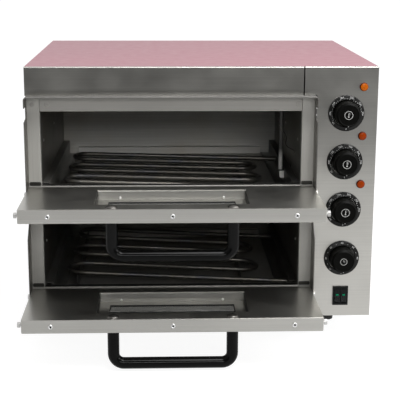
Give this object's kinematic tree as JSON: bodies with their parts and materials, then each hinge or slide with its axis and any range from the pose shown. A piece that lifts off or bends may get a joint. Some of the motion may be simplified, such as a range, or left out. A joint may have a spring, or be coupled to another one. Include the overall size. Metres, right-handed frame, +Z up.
{
  "type": "countertop pizza oven",
  "caption": "Double-deck electric pizza oven in sheet steel with drop-down glazed doors, tube heating elements, a column of dials with pilot lamps, and a rocker switch.",
  "frame": {"origin": "on the table under the middle of the whole outline with both doors open", "axes": "+X to the right and +Y to the back as seen from the front, +Z up"},
  "size_m": [0.567, 0.6462, 0.451],
  "materials": {
    "stainless": "brushed stainless sheet",
    "rose_paint": "satin rose enamel",
    "galvanised": "dull zinc-coated sheet",
    "chamber_steel": "dull heat-resistant sheet",
    "element_steel": "dark heat-tinted tube",
    "sensor_steel": "bright drawn tube",
    "fastener": "bright zinc",
    "dial_black": "satin black moulding",
    "handle_black": "satin black",
    "switch_black": "satin black moulding",
    "lamp_orange": "clear orange lens",
    "ceramic": "glazed ceramic",
    "wool": "loose mineral wool",
    "window_glass": "clear toughened glass",
    "foot_rubber": "matt black rubber"
  },
  "bodies": {
    "casing": {"base_pan": "galvanised", "feet": "foot_rubber", "left_side_panel": "rose_paint", "right_side_panel": "rose_paint", "top_panel": "rose_paint", "back_panel": "galvanised", "front_fascia": "stainless", "control_panel": "stainless", "door_hood": "stainless", "left_stile": "stainless", "right_stile": "stainless", "lintel": "stainless", "middle_rail": "stainless", "bottom_rail": "stainless", "upper_liner": "chamber_steel", "lower_liner": "chamber_steel", "insulation": "wool", "partition": "galvanised", "upper_shelf_rails": "chamber_steel", "lower_shelf_rails": "chamber_steel", "upper_ceiling_element": "element_steel", "upper_floor_element": "element_steel", "lower_ceiling_element": "element_steel", "lower_floor_element": "element_steel", "element_beads": "ceramic", "element_carriers": "chamber_steel", "thermostats": "galvanised", "timer_body": "galvanised", "sensor_bulbs": "sensor_steel", "pilot_lamps": "lamp_orange", "dial_scales": "dial_black", "switch_housing": "switch_black", "terminal_block": "ceramic", "cable_gland": "switch_black", "casing_screws": "fastener", "hinge_screws": "fastener"},
    "top_dial": {"top_dial": "dial_black", "top_shaft": "fastener"},
    "middle_dial": {"middle_dial": "dial_black", "middle_shaft": "fastener"},
    "bottom_dial": {"bottom_dial": "dial_black", "bottom_shaft": "fastener"},
    "timer_dial": {"timer_dial": "dial_black", "timer_shaft": "fastener"},
    "left_rocker": {"left_rocker": "switch_black"},
    "right_rocker": {"right_rocker": "switch_black"},
    "upper_door": {"upper_door_shell": "stainless", "upper_inner_panel": "stainless", "upper_window_frame": "stainless", "upper_glass": "window_glass", "upper_handle": "handle_black", "upper_door_screws": "fastener", "upper_latch_pins": "fastener"},
    "lower_door": {"lower_door_shell": "stainless", "lower_inner_panel": "stainless", "lower_window_frame": "stainless", "lower_glass": "window_glass", "lower_handle": "handle_black", "lower_door_screws": "fastener", "lower_latch_pins": "fastener"}
  },
  "joints": [
    {"name": "upper_door_hinge", "type": "hinge", "parent": "casing", "child": "upper_door", "pos_m": [0, -0.1749, 0.2468], "axis": [-1, 0, 0], "range_deg": [0, 90]},
    {"name": "lower_door_hinge", "type": "hinge", "parent": "casing", "child": "lower_door", "pos_m": [0, -0.1749, 0.0758], "axis": [-1, 0, 0], "range_deg": [0, 90]},
    {"name": "top_dial_turn", "type": "hinge", "parent": "casing", "child": "top_dial", "pos_m": [0.23, -0.1689, 0.377], "axis": [0, 1, 0], "range_deg": [0, 270]},
    {"name": "middle_dial_turn", "type": "hinge", "parent": "casing", "child": "middle_dial", "pos_m": [0.23, -0.1689, 0.298], "axis": [0, 1, 0], "range_deg": [0, 270]},
    {"name": "bottom_dial_turn", "type": "hinge", "parent": "casing", "child": "bottom_dial", "pos_m": [0.23, -0.1689, 0.219], "axis": [0, 1, 0], "range_deg": [0, 270]},
    {"name": "timer_dial_turn", "type": "hinge", "parent": "casing", "child": "timer_dial", "pos_m": [0.23, -0.1689, 0.137], "axis": [0, 1, 0], "range_deg": [0, 270]},
    {"name": "left_rocker_tip", "type": "hinge", "parent": "casing", "child": "left_rocker", "pos_m": [0.22465, -0.1669, 0.072], "axis": [1, 0, 0], "range_deg": [0, 18]},
    {"name": "right_rocker_tip", "type": "hinge", "parent": "casing", "child": "right_rocker", "pos_m": [0.23535, -0.1669, 0.072], "axis": [1, 0, 0], "range_deg": [0, 18]}
  ]
}
